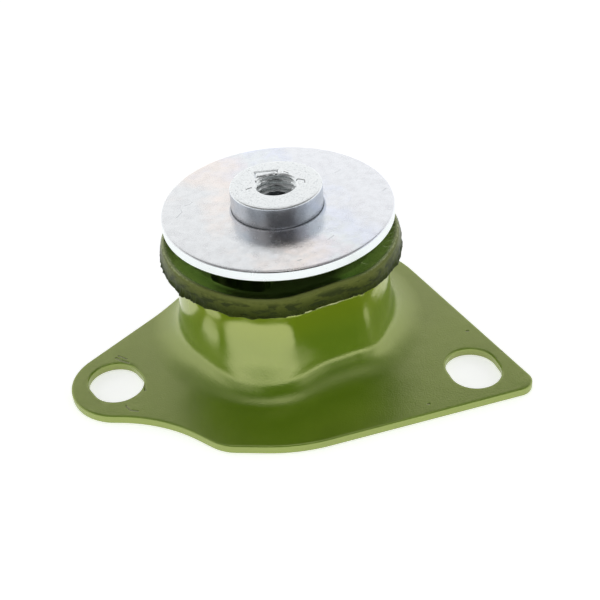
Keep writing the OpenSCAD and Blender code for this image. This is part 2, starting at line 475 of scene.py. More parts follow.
def plate_edge_rows(skin, loop, top_row, foot_row):
    """The rounded edge of the sheet along a loop of inset points and outward normals."""
    rows = [top_row]
    turns = [pi / 2 * i / EDGE_STEPS for i in range(EDGE_STEPS + 1)]
    section = [(sin(t), False, -EDGE_TOP * (1 - cos(t))) for t in turns[1:]]
    section += [(cos(t), True, EDGE_FOOT * (1 - sin(t))) for t in turns[:-1]]
    for share, under, lift in section:
        points = [q + n * (EDGE_IN * share) for q, n in loop]
        rows.append(skin.row([(*p, sheet_height(p, under) + lift) for p in points]))
    rows.append(foot_row)
    skin.bands(rows)


def outline_reach(outline, angle):
    """Distance from the axis to an outline of points and normals, and its normal there."""
    ray = unit(angle)
    best = None
    for (a, n), (b, m) in zip(outline, outline[1:] + outline[:1]):
        matrix = np.array([ray, a - b]).T
        if abs(np.linalg.det(matrix)) < PARALLEL:
            continue
        reach, share = np.linalg.solve(matrix, a)
        if reach > 0 and -TINY <= share <= 1 + TINY:
            normal = n + (m - n) * share
            best = (reach, normal / np.hypot(*normal))
    return best


def bend_cuts(outline, angles):
    """Where the outline cuts through the bend: the two angles, and which of the angles they replace."""
    def whole(angle):
        return outline_reach(outline, angle)[0] - cup_reach(angle, BEND_OUT) > 0

    wholes = [whole(a) for a in angles]
    cuts = []
    for i in range(len(angles)):
        if wholes[i - 1] != wholes[i]:
            cut = halve(angles[i - 1], angles[i], lambda a: whole(a) == wholes[i - 1])
            cuts.append((cut, i if wholes[i - 1] else i - 1))
    return cuts


def bend_rows(skin, angles, reaches, under):
    """Rows down the bend, to the plate or to the outline where that cuts through it."""
    ends = [1.5 * pi] * len(angles)
    for i in list(reaches)[1:-1]:
        ends[i] = bend_angle(angles[i], reaches[i][0], under)
    tops = [pi + bend_start(a)[0] for a in angles]
    rows = []
    for k in range(BEND_STEPS + 1):
        turns = [top + (end - top) * (k / BEND_STEPS) for top, end in zip(tops, ends)]
        rows.append(skin.row([bend_point(a, turn, under) for a, turn in zip(angles, turns)]))
    return rows


def wall_row(skin, angles, share, under):
    """A row round the wall, a share of the way from the bend up to the rim."""
    thick, rise = (WALL, BEND_RISE + SHEET) if under else (0.0, BEND_RISE)
    points = []
    for a in angles:
        foot = SHEET + BEND_RISE - rise * sin(bend_start(a)[0])
        z = foot + (CUP_H - foot) * share
        points.append((*(cup_reach(a, wall_out(z, a) - thick) * unit(a)), z))
    return skin.row(points)


def rim_rows(skin, angles, radius):
    """Rows round the turned rim, at a radius of its curl."""
    section = arc((RIM_R, CUP_H), radius, pi, pi - RIM_TURN, RIM_STEPS)
    return [skin.row([(*(cup_reach(a, o) * unit(a)), z) for a in angles]) for o, z in section]


def flat_part(outline, start, end):
    """The outline's points and normals between two angles, in order."""
    kept = []
    for p, n in outline:
        turn = atan2(p[1], p[0]) % tau
        turn = turn if turn > start - TINY else turn + tau
        if start + CUT_MARGIN < turn < end - CUT_MARGIN:
            kept.append((turn, p, n))
    first = min(range(len(kept)), key=lambda i: kept[i][0])
    return [(p, n) for _, p, n in kept[first:] + kept[:first]]


def plate_face(skin, z, bend, start, end, kept, slots):
    """One face of the flat plate; gives the rows along its outer edge and round its slots."""
    kept_row = skin.row([(*p, z) for p, _ in kept])
    slot_rows = [skin.row([(*p, z) for p, _ in slot]) for slot in slots]
    around = bend[start::-1] + bend[:end - 1:-1] + kept_row
    skin.fill([around, *slot_rows], lambda x, y: z)
    return [bend[start:end + 1] + kept_row, *slot_rows]


def drawn_in(outline):
    """An outline moved in by the width of the rounded edge."""
    return [(p - n * EDGE_IN, n) for p, n in outline]


def flange_skin():
    """The pressed sheet: plate, slots, bend, wall and turned rim, as one closed skin."""
    skin = Skin()
    outline = drawn_in(plate_outline())
    places = ((LEFT_SLOT, LEFT_SLOT_ANGLE), (RIGHT_SLOT, RIGHT_SLOT_ANGLE))
    slots = [drawn_in(slot_outline(*place)) for place in places]
    angles = list(np.linspace(0, tau, ROUND_STEPS, endpoint=False))
    (cut_start, start), (cut_end, end) = bend_cuts(outline, angles)
    angles[start] = cut_start
    angles[end] = cut_end
    reaches = {i: outline_reach(outline, angles[i]) for i in range(start, end + 1)}
    top_bend = bend_rows(skin, angles, reaches, False)
    foot_bend = bend_rows(skin, angles, reaches, True)
    shares = np.linspace(0, 1, WALL_STEPS + 1)[1:-1]
    outside = [wall_row(skin, angles, share, False) for share in shares]
    inside = [wall_row(skin, angles, share, True) for share in shares]
    lower = rim_rows(skin, angles, RIM_R)
    upper = rim_rows(skin, angles, RIM_R + WALL)
    skin.bands(top_bend[::-1] + outside + lower + upper[::-1] + inside[::-1] + foot_bend)
    kept = flat_part(outline, angles[end], angles[start] + tau)
    loop = [(reach * unit(angles[i]), normal) for i, (reach, normal) in reaches.items()] + kept
    top_rows = plate_face(skin, SHEET, top_bend[-1], start, end, kept, slots)
    foot_rows = plate_face(skin, 0.0, foot_bend[-1], start, end, kept, slots)
    for points, top_row, foot_row in zip([loop, *slots], top_rows, foot_rows):
        plate_edge_rows(skin, points, top_row, foot_row)
    return skin


def wobble(angle, scale, seed, size):
    """Smooth noise round the axis, from -size to size."""
    p = unit(angle) * scale
    return noise.noise(Vector((p[0], p[1], seed))) * size


LIP_STEPS = 1200
WEB_TOPS = (
    (STEM_R, 26.2), (11.35, 25.4), (11.9, 24.95), (12.7, 24.6), (13.6, 24.45),
    (16.5, 24.4), (18.6, 24.55), (20.6, 24.95),
)

# The lip's section. Dish: distance out from the void and height above it, share of the sag, and place
LIP_DISH = ((0.0, 0.0, 0.0, 0.0), (0.9, 0.25, 0.5, 0.2), (1.8, 0.65, 1.0, 0.4), (2.6, 1.05, 1.0, 0.6))
# Crest and outer face: distance out from the wall line, depth below the crest, and place
LIP_FACE = (
    (0.75, 0.5, 0.75), (1.2, 0.28, 0.85), (1.55, 0.06, 0.95), (1.78, 0.0, 1.0), (1.97, 0.07, 1.05),
    (2.17, 0.3, 1.15), (2.35, 0.62, 1.3), (2.5, 1.0, 1.5), (2.6, 1.45, 1.7), (2.68, 1.9, 1.9),
)
# Flash: distance out, share of its roughness, height above the lip's foot, and place
LIP_FLASH = (
    (2.75, 0.5, 0.75, 2.5), (2.92, 1.0, 0.5, 2.7), (3.02, 1.0, 0.25, 2.85),
    (2.9, 1.0, 0.03, 3.0), (2.5, 0.5, 0.0, 3.2), (2.0, 0.0, 0.1, 3.5),
)
HIDDEN = 4.0
# Noise round the lip: scale, seed and size
SAG = (2.2, 5.0, 0.2)
WANDER = (3.1, 7.0, 0.12)
TORN = (3.5, 12.0, 1.0)
WAVES = (26, 3.0, 0.26)
TEETH = (75, 9.0, 0.16)
FOOT_WAVES = (34, 4.0, 0.18)


def web_top(radius):
    """Height of the web's upper face at a distance from the axis."""
    radii, heights = zip(*WEB_TOPS)
    return float(np.interp(radius, radii, heights))


def web_reach(angle):
    """Distance from the axis to where the web meets the lining."""
    return min(VOID_OUT, cup_reach(angle, -WALL) - LINING_LEAST)


def clump(angle):
    """How far the flash stands out where moulding left clumps and notches."""
    total = 0.0
    for middle, width, out in CLUMPS:
        turn = degrees(remainder(angle - radians(middle), tau)) / width
        total += out * exp(-turn * turn * 2)
    return total


def lip_section(a):
    """The lip's section at one angle: distance from the axis, height, and place from dish to foot."""
    void_out = web_reach(a)
    sag = wobble(a, *SAG)
    out = wobble(a, *WANDER)
    torn = ease(wobble(a, *TORN), -0.25, 0.35)
    rough = (wobble(a, *WAVES) + wobble(a, *TEETH)) * (0.25 + torn) + clump(a)
    foot = LIP_FOOT + sag / 3 - clump(a) * 0.5 + wobble(a, *FOOT_WAVES) * torn
    top = LIP_TOP - 0.05 + sag

    def at(o, z, place):
        return cup_reach(a, o), z, place

    low = web_top(void_out)
    points = [(void_out + o, low + lift + sag * share, place) for o, lift, share, place in LIP_DISH]
    points += [at(o + out, top - drop, place) for o, drop, place in LIP_FACE]
    points += [at(2.75 + out / 2, top - 2.35, 2.1), at(2.72 + rough / 4, top - 2.75, 2.3)]
    points += [at(o + rough * share, foot + lift, place) for o, share, lift, place in LIP_FLASH]
    return points + [at(1.4, LIP_FOOT + 0.3, HIDDEN)]


def hidden_section(a):
    """The rest of the section, out of sight: round the rim, down the wall and up beside the web."""
    rim, rim_end = (RIM_R, CUP_H), pi - RIM_TURN
    under = [(cup_reach(a, o), z) for o, z in arc(rim, RIM_R - BOND, pi * 0.70, rim_end, 3)]
    over = [(cup_reach(a, o), z) for o, z in arc(rim, RIM_R + WALL + BOND, rim_end - 0.01, pi, 6)]
    heights = np.linspace(CUP_H, RUBBER_FOOT, 9)[1:]
    inner = [(cup_reach(a, wall_out(max(z, WALL_Z[0]), a) - WALL - BOND), z) for z in heights]
    back = [(web_reach(a), z) for z in np.linspace(RUBBER_FOOT, 24.0, 5)]
    return [(r, z, HIDDEN) for r, z in under + over + inner + back]


def worn(a, r, z, place):
    """Roughens the outer face, and wrinkles the dish where the lip turns at the right."""
    if place == HIDDEN:
        return r, z
    spot = Vector((r * cos(a), r * sin(a), z))
    coarse = max(0.0, min(1.0, (place - 1.3) / 1.2))
    along = Vector((spot.x * 0.5, spot.y * 0.5, spot.z * 1.6))
    rough = noise.noise(along) * 0.16 + noise.noise(along * 2.6) * 0.08
    fine = noise.noise(spot * 0.7) * 0.05
    turn = remainder(a, tau)
    if WRINKLE_START < turn < WRINKLE_END and 0.3 < place < 1.1:
        depth = sin(pi * (turn - WRINKLE_START) / (WRINKLE_END - WRINKLE_START))
        rough_turn = turn * 150 + noise.noise(spot) * 2
        fine += 0.05 * depth * sin(rough_turn) * sin(pi * (place - 0.3) / 0.8)
    return r + coarse * rough, z + fine


def lip_skin():
    """The rubber's rolled lip and lining, from the voids' outer side to the lip's rough edge."""
    skin = Skin()
    angles = np.linspace(0, tau, LIP_STEPS, endpoint=False)
    sections = [lip_section(a) + hidden_section(a) for a in angles]
    places = []
    rows = []
    for k in range(len(sections[0])):
        points = []
        for a, section in zip(angles, sections):
            r, z = worn(a, *section[k])
            points.append((*(r * unit(a)), z))
            places.append(section[k][2])
        rows.append(skin.row(points))
    skin.values["place"] = places
    skin.bands(rows + rows[:1])
    return skin


WEB_FOOT = 11.4
WEB_STEP = 0.55
SEAM_RADII = (
    20.2, 19.7, 19.2, 18.6, 18.0, 17.5, 17.0, 16.5, 16.0, 15.5, 15.0, 14.5, 14.0,
    13.6, 13.2, 12.7, 12.3, 11.9, 11.6, 11.35,
)
SEAM_CLEAR = 0.3
WEB_SECTORS = 12
HUB_STEPS = 8
VOID_END_POINTS = 14
LINING_STEPS = 24
STEM_STEPS = 14

# The rolled edge at a void: its width, and how far in and down its shoulder lies
ROLL = 0.4
SHOULDER = 0.3
GROOVE = (
    (STEM_R + 1.5, RUBBER_FOOT + 0.1), (STEM_R + 3.0, WEB_FOOT),
    (17.0, WEB_FOOT), (18.5, RUBBER_FOOT + 0.1),
)


def web_foot(x, y):
    """Height of the web's underside, with the groove between stem and lining."""
    radius = hypot(x, y)
    for (start, low), (end, high) in zip(GROOVE, GROOVE[1:]):
        if radius < end:
            return low + (high - low) * ease(radius, start, end)
    return GROOVE[-1][1]


def void_end(tip, side, inset):
    """Points round a void's end, from the hub to the lining; side is 1 or -1, the way that it bulges."""
    def point(turn):
        return VOID_MID * unit(tip) + (VOID_ROUND + inset) * unit(tip + side * turn)

    def room(turn):
        p = point(turn)
        return web_reach(atan2(p[1], p[0])) - np.hypot(*p)

    stop = next((t for t in np.linspace(pi, 0, 200) if room(t) < 1e-6), 0.0)
    return [point(t) for t in np.linspace(pi, stop, VOID_END_POINTS)]


def seam(angle, reach):
    """Points along a seam between two sectors, inwards from a distance."""
    return [r * unit(angle) for r in SEAM_RADII if r < reach - SEAM_CLEAR]


def web_outline(start, end, void, inset):
    """Plan of one sector of the web. A void at its start, 1, or end, -1, is widened by inset; 0 is none."""
    hub = VOID_IN - inset
    outer_start, outer_end = start, end
    opening, closing = [web_reach(start) * unit(start)], [web_reach(end) * unit(end)]
    if void == 1:
        side = void_end(start + VOID_END, 1, inset)
        opening = arc((0, 0), hub, start, start + VOID_END, HUB_STEPS)[:-1] + side
        outer_start = atan2(side[-1][1], side[-1][0])
    if void == -1:
        side = void_end(end - VOID_END, -1, inset)[::-1]
        closing = side + arc((0, 0), hub, end - VOID_END, end, HUB_STEPS)[1:]
        outer_end = atan2(side[0][1], side[0][0])
    turn = (outer_end - outer_start) % tau
    angles = [outer_start + turn * i / LINING_STEPS for i in range(1, LINING_STEPS)]
    points = opening + [web_reach(a) * unit(a) for a in angles] + closing
    points += seam(end, VOID_IN - ROLL if void == -1 else web_reach(end))
    points += arc((0, 0), STEM_R + BOND, end, start, STEM_STEPS)
    return points + seam(start, VOID_IN - ROLL if void == 1 else web_reach(start))[::-1]


def web_skin(start, end, void):
    """One sector of the web as a closed skin, its upper edge rolled at the void."""
    skin = Skin()
    full, small = web_outline(start, end, void, 0.0), web_outline(start, end, void, ROLL)
    foot = skin.row([(*p, web_foot(*p)) for p in full])
    rolled = [min(1.0, np.hypot(*(p - q)) / ROLL) for p, q in zip(full, small)]
    side = skin.row([(*p, web_top(np.hypot(*p)) - ROLL * k) for p, k in zip(full, rolled)])
    between = [(p * (1 - SHOULDER) + q * SHOULDER, k) for p, q, k in zip(full, small, rolled)]
    shoulder = skin.row([(*p, web_top(np.hypot(*p)) - ROLL * SHOULDER * k) for p, k in between])
    top = skin.row([(*q, web_top(np.hypot(*q))) for q in small])
    skin.bands([foot, side, shoulder, top])
    spots = []
    for r in SEAM_RADII:
        steps = round((end - start) * r / WEB_STEP)
        spots += [r * unit(start + (end - start) * i / steps) for i in range(1, steps)]
    skin.fill([top], lambda x, y: web_top(hypot(x, y)), spots, WEB_STEP * 0.6)
    skin.fill([foot], web_foot, spots, WEB_STEP * 0.6)
    skin.values["place"] = [0.0] * len(skin.points)
    return skin


STAKE = ((-4.7, 5.3), (0.1, 5.8), (0.0, 4.5), (-4.5, 3.2))
STAKE_DEPTH = 0.28
STAKE_WIDTH = 0.32
STAKE_RISE = 0.05


def stake_height(x, y):
    """The stake mark on the core's top: an outline pressed round a slightly raised patch."""
    point = np.array((x, y))
    nearest = inf
    for a, b in zip(STAKE, STAKE[1:] + STAKE[:1]):
        a, b = np.array(a), np.array(b)
        share = min(1.0, max(0.0, float((point - a) @ (b - a)) / float((b - a) @ (b - a))))
        nearest = min(nearest, float(np.hypot(*(point - a - share * (b - a)))))
    groove = -STAKE_DEPTH * max(0.0, 1 - nearest / STAKE_WIDTH)
    inside = in_region(point, [[Vector(p) for p in STAKE]])
    return groove + (STAKE_RISE * min(1.0, nearest / STAKE_WIDTH) if inside else 0.0)


CORE_STEPS = 300
CORE_ROUND = 0.35
THREAD_STEPS = 12


def core_section():
    """The turned outside and top, from the core's foot to the bore's mouth."""
    r, z = STEM_R - CORE_ROUND, CORE_FOOT
    section = [(r, z), (STEM_R - 0.15, z + 0.15), (STEM_R, z + CORE_ROUND)]
    section += [(STEM_R, h) for h in np.linspace(z + 2, DISC_FOOT - 0.15, 6)]
    section += [(STEM_R - 0.15, DISC_FOOT), (BUSH_R + 0.1, DISC_FOOT), (BUSH_R, DISC_FOOT + 0.1)]
    section += [(BUSH_R, h) for h in np.linspace(DISC_FOOT + 0.5, CORE_TOP - CORE_ROUND, 8)]
    shoulder = (BUSH_R - CORE_ROUND, CORE_TOP - CORE_ROUND)
    section += [tuple(p) for p in arc(shoulder, CORE_ROUND, 0, pi / 2, 6)][1:]
    section += [(r, CORE_TOP) for r in np.linspace(BUSH_R - 1.0, BORE_R + BORE_CHAMFER + 0.1, 44)]
    return section + [(BORE_R + BORE_CHAMFER, CORE_TOP - 0.03)]


def thread_radius(angle, down):
    """The bore's radius at an angle and a depth below the chamfer."""
    phase = (down / THREAD_PITCH + angle / tau) % 1
    rise = min(1, max(0, abs(phase - 0.5) * 2.4 - 0.1))
    fade = min(1, down / 0.5)
    return BORE_R + THREAD_DEPTH * (1 - rise) * fade


def core_skin():
    """The core as a turned piece: outside, top and a threaded blind bore."""
    skin = Skin()
    angles = np.linspace(0, tau, CORE_STEPS, endpoint=False)
    rows = []
    for r, z in core_section():
        points = [r * unit(a) for a in angles]
        rows.append(skin.row([(*p, z + (stake_height(*p) if z > CORE_TOP - 0.01 else 0.0)) for p in points]))
    skin.bands(rows)
    skin.fan(rows[0], (0, 0, CORE_FOOT))
    mouth = CORE_TOP - BORE_CHAMFER
    depth = BORE_DEPTH - BORE_CHAMFER
    steps = ceil(depth / THREAD_PITCH * THREAD_STEPS)
    thread = []
    for k in range(steps + 1):
        z = mouth - depth * k / steps
        thread.append(skin.row([(*(thread_radius(a, mouth - z) * unit(a)), z) for a in angles]))
    skin.bands([rows[-1]] + thread)
    skin.fan(thread[-1], (0, 0, mouth - depth - BORE_R * BORE_CONE))
    return skin


DISC_STEPS = 360
DISC_ROUND = 0.45


def disc_skin():
    """The stop disc, a blanked washer with rounded edges."""
    skin = Skin()
    angles = np.linspace(0, tau, DISC_STEPS, endpoint=False)
    edge_r = DISC_ROUND
    inner = BUSH_R + 0.01
    top = DISC_TOP
    foot = DISC_FOOT
    section = [(inner, top - 0.12), (inner + 0.12, top)]
    section += [(r, top) for r in np.linspace(inner + 1, DISC_R - edge_r - 0.5, 12)]
    section += [tuple(p) for p in arc((DISC_R - edge_r, top - edge_r), edge_r, pi / 2, 0, 6)]
    section += [tuple(p) for p in arc((DISC_R - edge_r, foot + edge_r), edge_r, 0, -pi / 2, 6)]
    section += [(r, foot) for r in np.linspace(DISC_R - edge_r - 0.5, inner + 1, 12)]
    section += [(inner + 0.12, foot), (inner, foot + 0.12)]
    rows = [skin.row([(*(r * unit(a)), z) for a in angles]) for r, z in section]
    skin.bands(rows + rows[:1])
    return skin


# Materials
def add_node(tree, kind, inputs=None, **settings):
    """A shader node; each input is a value or another node's socket."""
    made = tree.nodes.new("ShaderNode" + kind)
    for name, value in settings.items():
        setattr(made, name, value)
    for name, value in (inputs or {}).items():
        if isinstance(value, bpy.types.NodeSocket):
            tree.links.new(value, made.inputs[name])
        else:
            made.inputs[name].default_value = value
    return made


def new_material(name, **values):
    """A material with a Principled shader, and its tree."""
    material = bpy.data.materials.new(name)
    material.use_nodes = True
    tree = material.node_tree
    shader = tree.nodes["Principled BSDF"]
    for socket, value in values.items():
        shader.inputs[socket.replace("_", " ")].default_value = value
    return material, tree, shader


def linked(kind, inputs, **settings):
    """A shader node in the tree that the sockets among its inputs are in."""
    sockets = [v for v in inputs.values() if isinstance(v, bpy.types.NodeSocket)]
    return add_node(sockets[0].id_data, kind, inputs, **settings)


def join(shader, socket, source):
    shader.id_data.links.new(source, shader.inputs[socket])


def maths(operation, *values, **settings):
    return linked("Math", dict(enumerate(values)), operation=operation, **settings).outputs[0]


def times(a, b):
    return maths("MULTIPLY", a, b)


def vectors(operation, inputs, output=0):
    return linked("VectorMath", inputs, operation=operation).outputs[output]


def combined(*parts):
    return linked("CombineXYZ", dict(enumerate(parts))).outputs[0]


def millimetres(tree):
    """The point being shaded, in millimetres in the object's frame, and its three parts."""
    place = vectors("SCALE", {0: add_node(tree, "TexCoord").outputs["Object"], "Scale": 1 / MM})
    return place, *linked("SeparateXYZ", {0: place}).outputs


def noise_value(place, scale, detail=3, roughness=0.5):
    inputs = {"Vector": place, "Scale": scale, "Detail": detail, "Roughness": roughness}
    return linked("TexNoise", inputs).outputs["Fac"]


def ramp(value, stops):
    """A colour ramp; stops are pairs of a place and a colour."""
    made = linked("ValToRGB", {"Fac": value})
    band = made.color_ramp
    while len(band.elements) < len(stops):
        band.elements.new(0.5)
    for element, (place, colour) in zip(band.elements, stops):
        element.position = place
        element.color = (*colour, 1)
    return made.outputs["Color"]


def span(value, low, high, start=0.0, end=1.0):
    """Smooth change from start to end while a value goes from low to high."""
    inputs = {"Value": value, 1: low, 2: high, 3: start, 4: end}
    return linked("MapRange", inputs, interpolation_type="SMOOTHSTEP").outputs[0]


def window(value, rise, fall):
    """1 between a soft rise and a soft fall, each given by the values where it starts and ends."""
    return times(span(value, *rise), span(value, *fall, 1.0, 0.0))


def bump(height, distance, normal=None):
    inputs = {"Height": height, "Distance": distance * MM, "Strength": 1.0}
    if normal is not None:
        inputs["Normal"] = normal
    return linked("Bump", inputs).outputs["Normal"]


def stroke(spot, start, end, width):
    """1 along a straight mark between two places, falling to 0 at its width from the line."""
    line = np.subtract(end, start)
    offset = vectors("SUBTRACT", {0: spot, 1: tuple(start)})
    dot = vectors("DOT_PRODUCT", {0: offset, 1: tuple(line)}, "Value")
    share = maths("DIVIDE", dot, float(line @ line), use_clamp=True)
    along = vectors("SCALE", {0: tuple(line), "Scale": share})
    away = vectors("DISTANCE", {0: offset, 1: along}, "Value")
    return span(away, 0.0, width, 1.0, 0.0)


def strokes(spot, lines, height):
    """Several marks, each a row of places in plan and a width, as one mask at a height."""
    total = None
    for places, width in lines:
        for start, end in zip(places, places[1:]):
            mask = stroke(spot, (*start, height), (*end, height), width)
            total = mask if total is None else maths("MAXIMUM", total, mask)
    return total


def tinted(mask, colour, mark):
    """A colour that turns to another where a mask is 1."""
    return linked("MixRGB", {"Fac": mask, "Color1": colour, "Color2": (*mark, 1)}).outputs[0]


PLATE_DENTS = (
    (((-38.4, -11.8), (-37.2, -12.6), (-35.4, -13.6)), 0.45),
    (((-38.0, -11.0), (-36.0, -12.2)), 0.30),
    (((-31.0, -21.0), (-30.4, -23.2)), 0.35),
    (((-33.9, -28.0), (-32.8, -29.4), (-31.2, -29.8)), 0.35),
    (((30.0, -31.1), (30.3, -31.0)), 0.35),
    (((40.6, -7.3), (40.9, -7.2)), 0.4),
    (((47.4, -14.9), (47.9, -14.6)), 0.3),
    (((32.8, -35.1), (33.4, -34.9)), 0.3),
)
GREEN_TONES = ((0.3, (0.098, 0.18, 0.006)), (0.7, (0.125, 0.215, 0.01)))
# Colour of the painted highlight on the upper wall
GREEN_TOP_HIGHLIGHT = (0.18, 0.255, 0.01)
GREEN_BEAD_HIGHLIGHT = (0.30, 0.34, 0.15)
GREEN_DENT = (0.03, 0.05, 0.01)
GREEN_SHEEN = (0.97, 0.97, 0.47, 1)


def green_finish():
    """Glossy green finish over pressed steel, a little uneven, with painted highlights on the upper wall and
    along the bead under the lip.
    """
    material, tree, shader = new_material("green_finish", Roughness=0.1, IOR=2.85, Specular_Tint=GREEN_SHEEN)
    place, x, y, z = millimetres(tree)
    bearing = maths("ARCTAN2", y, x)
    even = ramp(noise_value(place, 0.08, 4), GREEN_TONES)
    # The wall is painted lighter and yellower towards the rim: a painted highlight for the bright band under
    # the lip.
    colour = tinted(span(z, 11.0, 20.0, 0.0, 0.75), even, GREEN_TOP_HIGHLIGHT)
    dents = strokes(place, PLATE_DENTS, SHEET)
    bead = bead_and_highlight(place, bearing, z)
    # The bead's pale tint is a painted highlight; its bump is the real bead.
    highlighted = tinted(times(bead, 0.8), colour, GREEN_BEAD_HIGHLIGHT)
    dented = tinted(times(dents, 0.55), highlighted, GREEN_DENT)
    join(shader, "Base Color", dented)
    peel = times(noise_value(place, 2.8, 3, 0.6), span(z, 7.0, 14.0, 1.0, 0.25))
    soft = bump(noise_value(place, 0.16, 2), 0.06)
    drawn = bump(drawing_lines(bearing, z), 0.06, soft)
    pressed = bump(dents, -0.3, bump(peel, 0.05, drawn))
    join(shader, "Normal", bump(bead, 0.15, pressed))
    join(shader, "Roughness", span(z, SHEET + 0.2, SHEET + 4.0, 0.24, 0.10))
    return material


def bead_and_highlight(place, bearing, z):
    """The thin broken bead of paint on the wall under the lip, on the right; its pale colour is a painted
    highlight along the bead.
    """
    drift = span(noise_value(place, 0.35, 4, 0.6), 0.3, 0.7, -0.35, 0.35)
    band = window(maths("ADD", z, drift), (20.75, 20.95), (21.3, 21.5))
    return times(band, window(bearing, in_radians(-92, -84), in_radians(-46, -38)))


def drawing_lines(bearing, z):
    """Fine upright lines that drawing the cup left on the wall's right side."""
    spread = combined(times(bearing, 70.0), times(z, 0.35))
    lines = times(noise_value(spread, 1.0, 3, 0.6), span(z, 7.0, 11.0))
    return times(lines, window(bearing, in_radians(-46, -38), in_radians(-26, -20)))


# Scratches and wrinkles on the dish and lip
RUBBER_MARKS = (
    (((17.4, -11.0), (18.8, -13.2)), 0.16),
    (((22.2, -6.8), (24.0, -8.8)), 0.16),
    (((23.6, 0.6), (25.0, 0.8)), 0.13),
    (((23.6, -1.0), (25.1, -0.8)), 0.13),
    (((23.5, -2.6), (25.2, -2.4)), 0.13),
    (((23.4, -4.0), (25.1, -4.2)), 0.13),
    (((23.1, -5.3), (24.8, -5.8)), 0.13),
)
# The overspray's colours by a quarter of the place: the dish is 0, the crest 0.25, the lip's foot 0.75; the
# lighter stops at the crest are a painted highlight
RUBBER_OVERSPRAY_AND_HIGHLIGHT = (
    (0.0, (0.07, 0.105, 0.024)), (0.10, (0.08, 0.112, 0.026)), (0.19, (0.10, 0.125, 0.032)),
    (0.24, (0.16, 0.18, 0.055)), (0.268, (0.14, 0.16, 0.045)), (0.34, (0.11, 0.126, 0.028)),
    (0.44, (0.066, 0.078, 0.014)), (0.58, (0.034, 0.044, 0.006)), (0.9, (0.012, 0.017, 0.003)),
)
RUBBER_BARE = (0.016, 0.021, 0.005)
RUBBER_CREST_HIGHLIGHT = (0.44, 0.48, 0.24)
RUBBER_SCRATCH = (0.42, 0.44, 0.32)
RUBBER_DUST = (0.13, 0.155, 0.04)
RUBBER_SHEEN = (0.7, 1.0, 0.4, 1)


def rubber_colour(spot, place, x, y):
    """Overspray: thin in the dish, rubbed off at the flash; the ridge is lighter by a painted highlight,
    strongest at the left and right.
    """
    mottle = noise_value(spot, 1.3, 6, 0.65)
    along = maths("ADD", place, span(mottle, 0.3, 0.7, -0.07, 0.07))
    # The ramp holds the overspray's colours and a painted highlight at the crest.
    overspray_and_highlight = ramp(times(along, 0.25), RUBBER_OVERSPRAY_AND_HIGHLIGHT)
    around = combined(times(x, 0.3), times(y, 0.3), times(place, 2.1))
    streak = span(noise_value(around, 1.0, 6, 0.62), 0.47, 0.57)
    rubbed = times(streak, span(place, 1.1, 1.8, 0.0, 0.85))
    dark = tinted(rubbed, overspray_and_highlight, RUBBER_BARE)
    # A painted highlight along the crest, strongest at the left and right sides.
    aside = span(maths("ABSOLUTE", x), 15.0, 23.0, 0.0, 0.85)
    crest = times(window(along, (0.86, 0.96), (1.02, 1.12)), aside)
    lit = tinted(crest, dark, RUBBER_CREST_HIGHLIGHT)
    scratches = strokes(combined(x, y), RUBBER_MARKS, 0.0)
    worked = times(scratches, span(place, 1.0, 1.1, 0.7, 0.0))
    scratched = tinted(worked, lit, RUBBER_SCRATCH)
    speck = span(noise_value(spot, 4.2, 3, 0.6), 0.60, 0.70)
    return tinted(times(speck, span(place, 1.6, 2.8, 0.0, 0.6)), scratched, RUBBER_DUST)


def oversprayed_rubber():
    """Dark rubber under green overspray, glossy in the dish, with a painted highlight along the ridge."""
    settings = {"IOR": 1.4, "Specular_IOR_Level": 0.25, "Specular_Tint": RUBBER_SHEEN}
    material, tree, shader = new_material("rubber", **settings)
    spot, x, y, _ = millimetres(tree)
    place = add_node(tree, "Attribute", attribute_name="place").outputs["Fac"]
    join(shader, "Base Color", rubber_colour(spot, place, x, y))
    join(shader, "Roughness", span(place, 0.8, 2.2, 0.2, 0.5))
    join(shader, "Metallic", span(place, 0.7, 1.1, 0.7, 0.0))
    join(shader, "Normal", bump(noise_value(spot, 3.0, 6, 0.7), 0.05))
    return material


DISC_MARKS = (
    (((-21.6, -3.6), (-20.6, -1.6), (-20.9, -0.4)), 0.14),
    (((-20.4, 1.0), (-19.2, 1.5), (-18.6, 2.6)), 0.12),
    (((10.6, -14.9), (12.0, -13.2)), 0.12),
    (((22.8, 3.4), (23.6, 4.4)), 0.14),
    (((4.6, -21.7), (5.4, -21.4)), 0.16),
    (((12.5, 12.0), (13.8, 13.4)), 0.10),
)
STEEL_MARKS = (
    (((-4.6, 3.2), (-4.7, 5.3), (0.1, 5.8), (0.2, 4.5)), 0.17),
    (((3.7, 0.4), (4.8, 1.7), (6.1, 1.2), (6.2, 0.2)), 0.22),
    (((-4.4, 1.7), (-4.1, 0.4)), 0.25),
    (((-6.2, -1.6), (-5.2, -1.0)), 0.2),
    (((1.6, 5.2), (2.6, 4.4)), 0.15),
)
ZINC_PLAY = (
    (0.10, (0.89, 0.89, 0.90)), (0.30, (0.98, 0.90, 0.86)), (0.46, (0.93, 0.89, 0.92)),
    (0.58, (0.90, 0.92, 0.94)), (0.70, (0.88, 0.90, 0.99)), (0.86, (0.92, 0.92, 0.95)),
)
ZINC_SPECK = (0.62, 0.64, 0.66)
ZINC_RIM_SHADE = (0.76, 0.80, 0.80)
ZINC_SCRATCH = (0.35, 0.37, 0.40)
STEEL_SIDE_SHADED = ((0.3, (0.56, 0.60, 0.66)), (0.7, (0.64, 0.68, 0.74)))
STEEL_BORE_LIT = (0.96, 0.98, 0.98)
STEEL_TOP_LIT = (0.95, 0.96, 0.96)
STEEL_SPECK = (0.42, 0.45, 0.47)
STEEL_DARK = (0.10, 0.11, 0.12)


def specks(place, scale, low, high):
    """Small sharp spots, 1 in their middles."""
    return span(noise_value(place, scale, 2, 0.5), low, high)


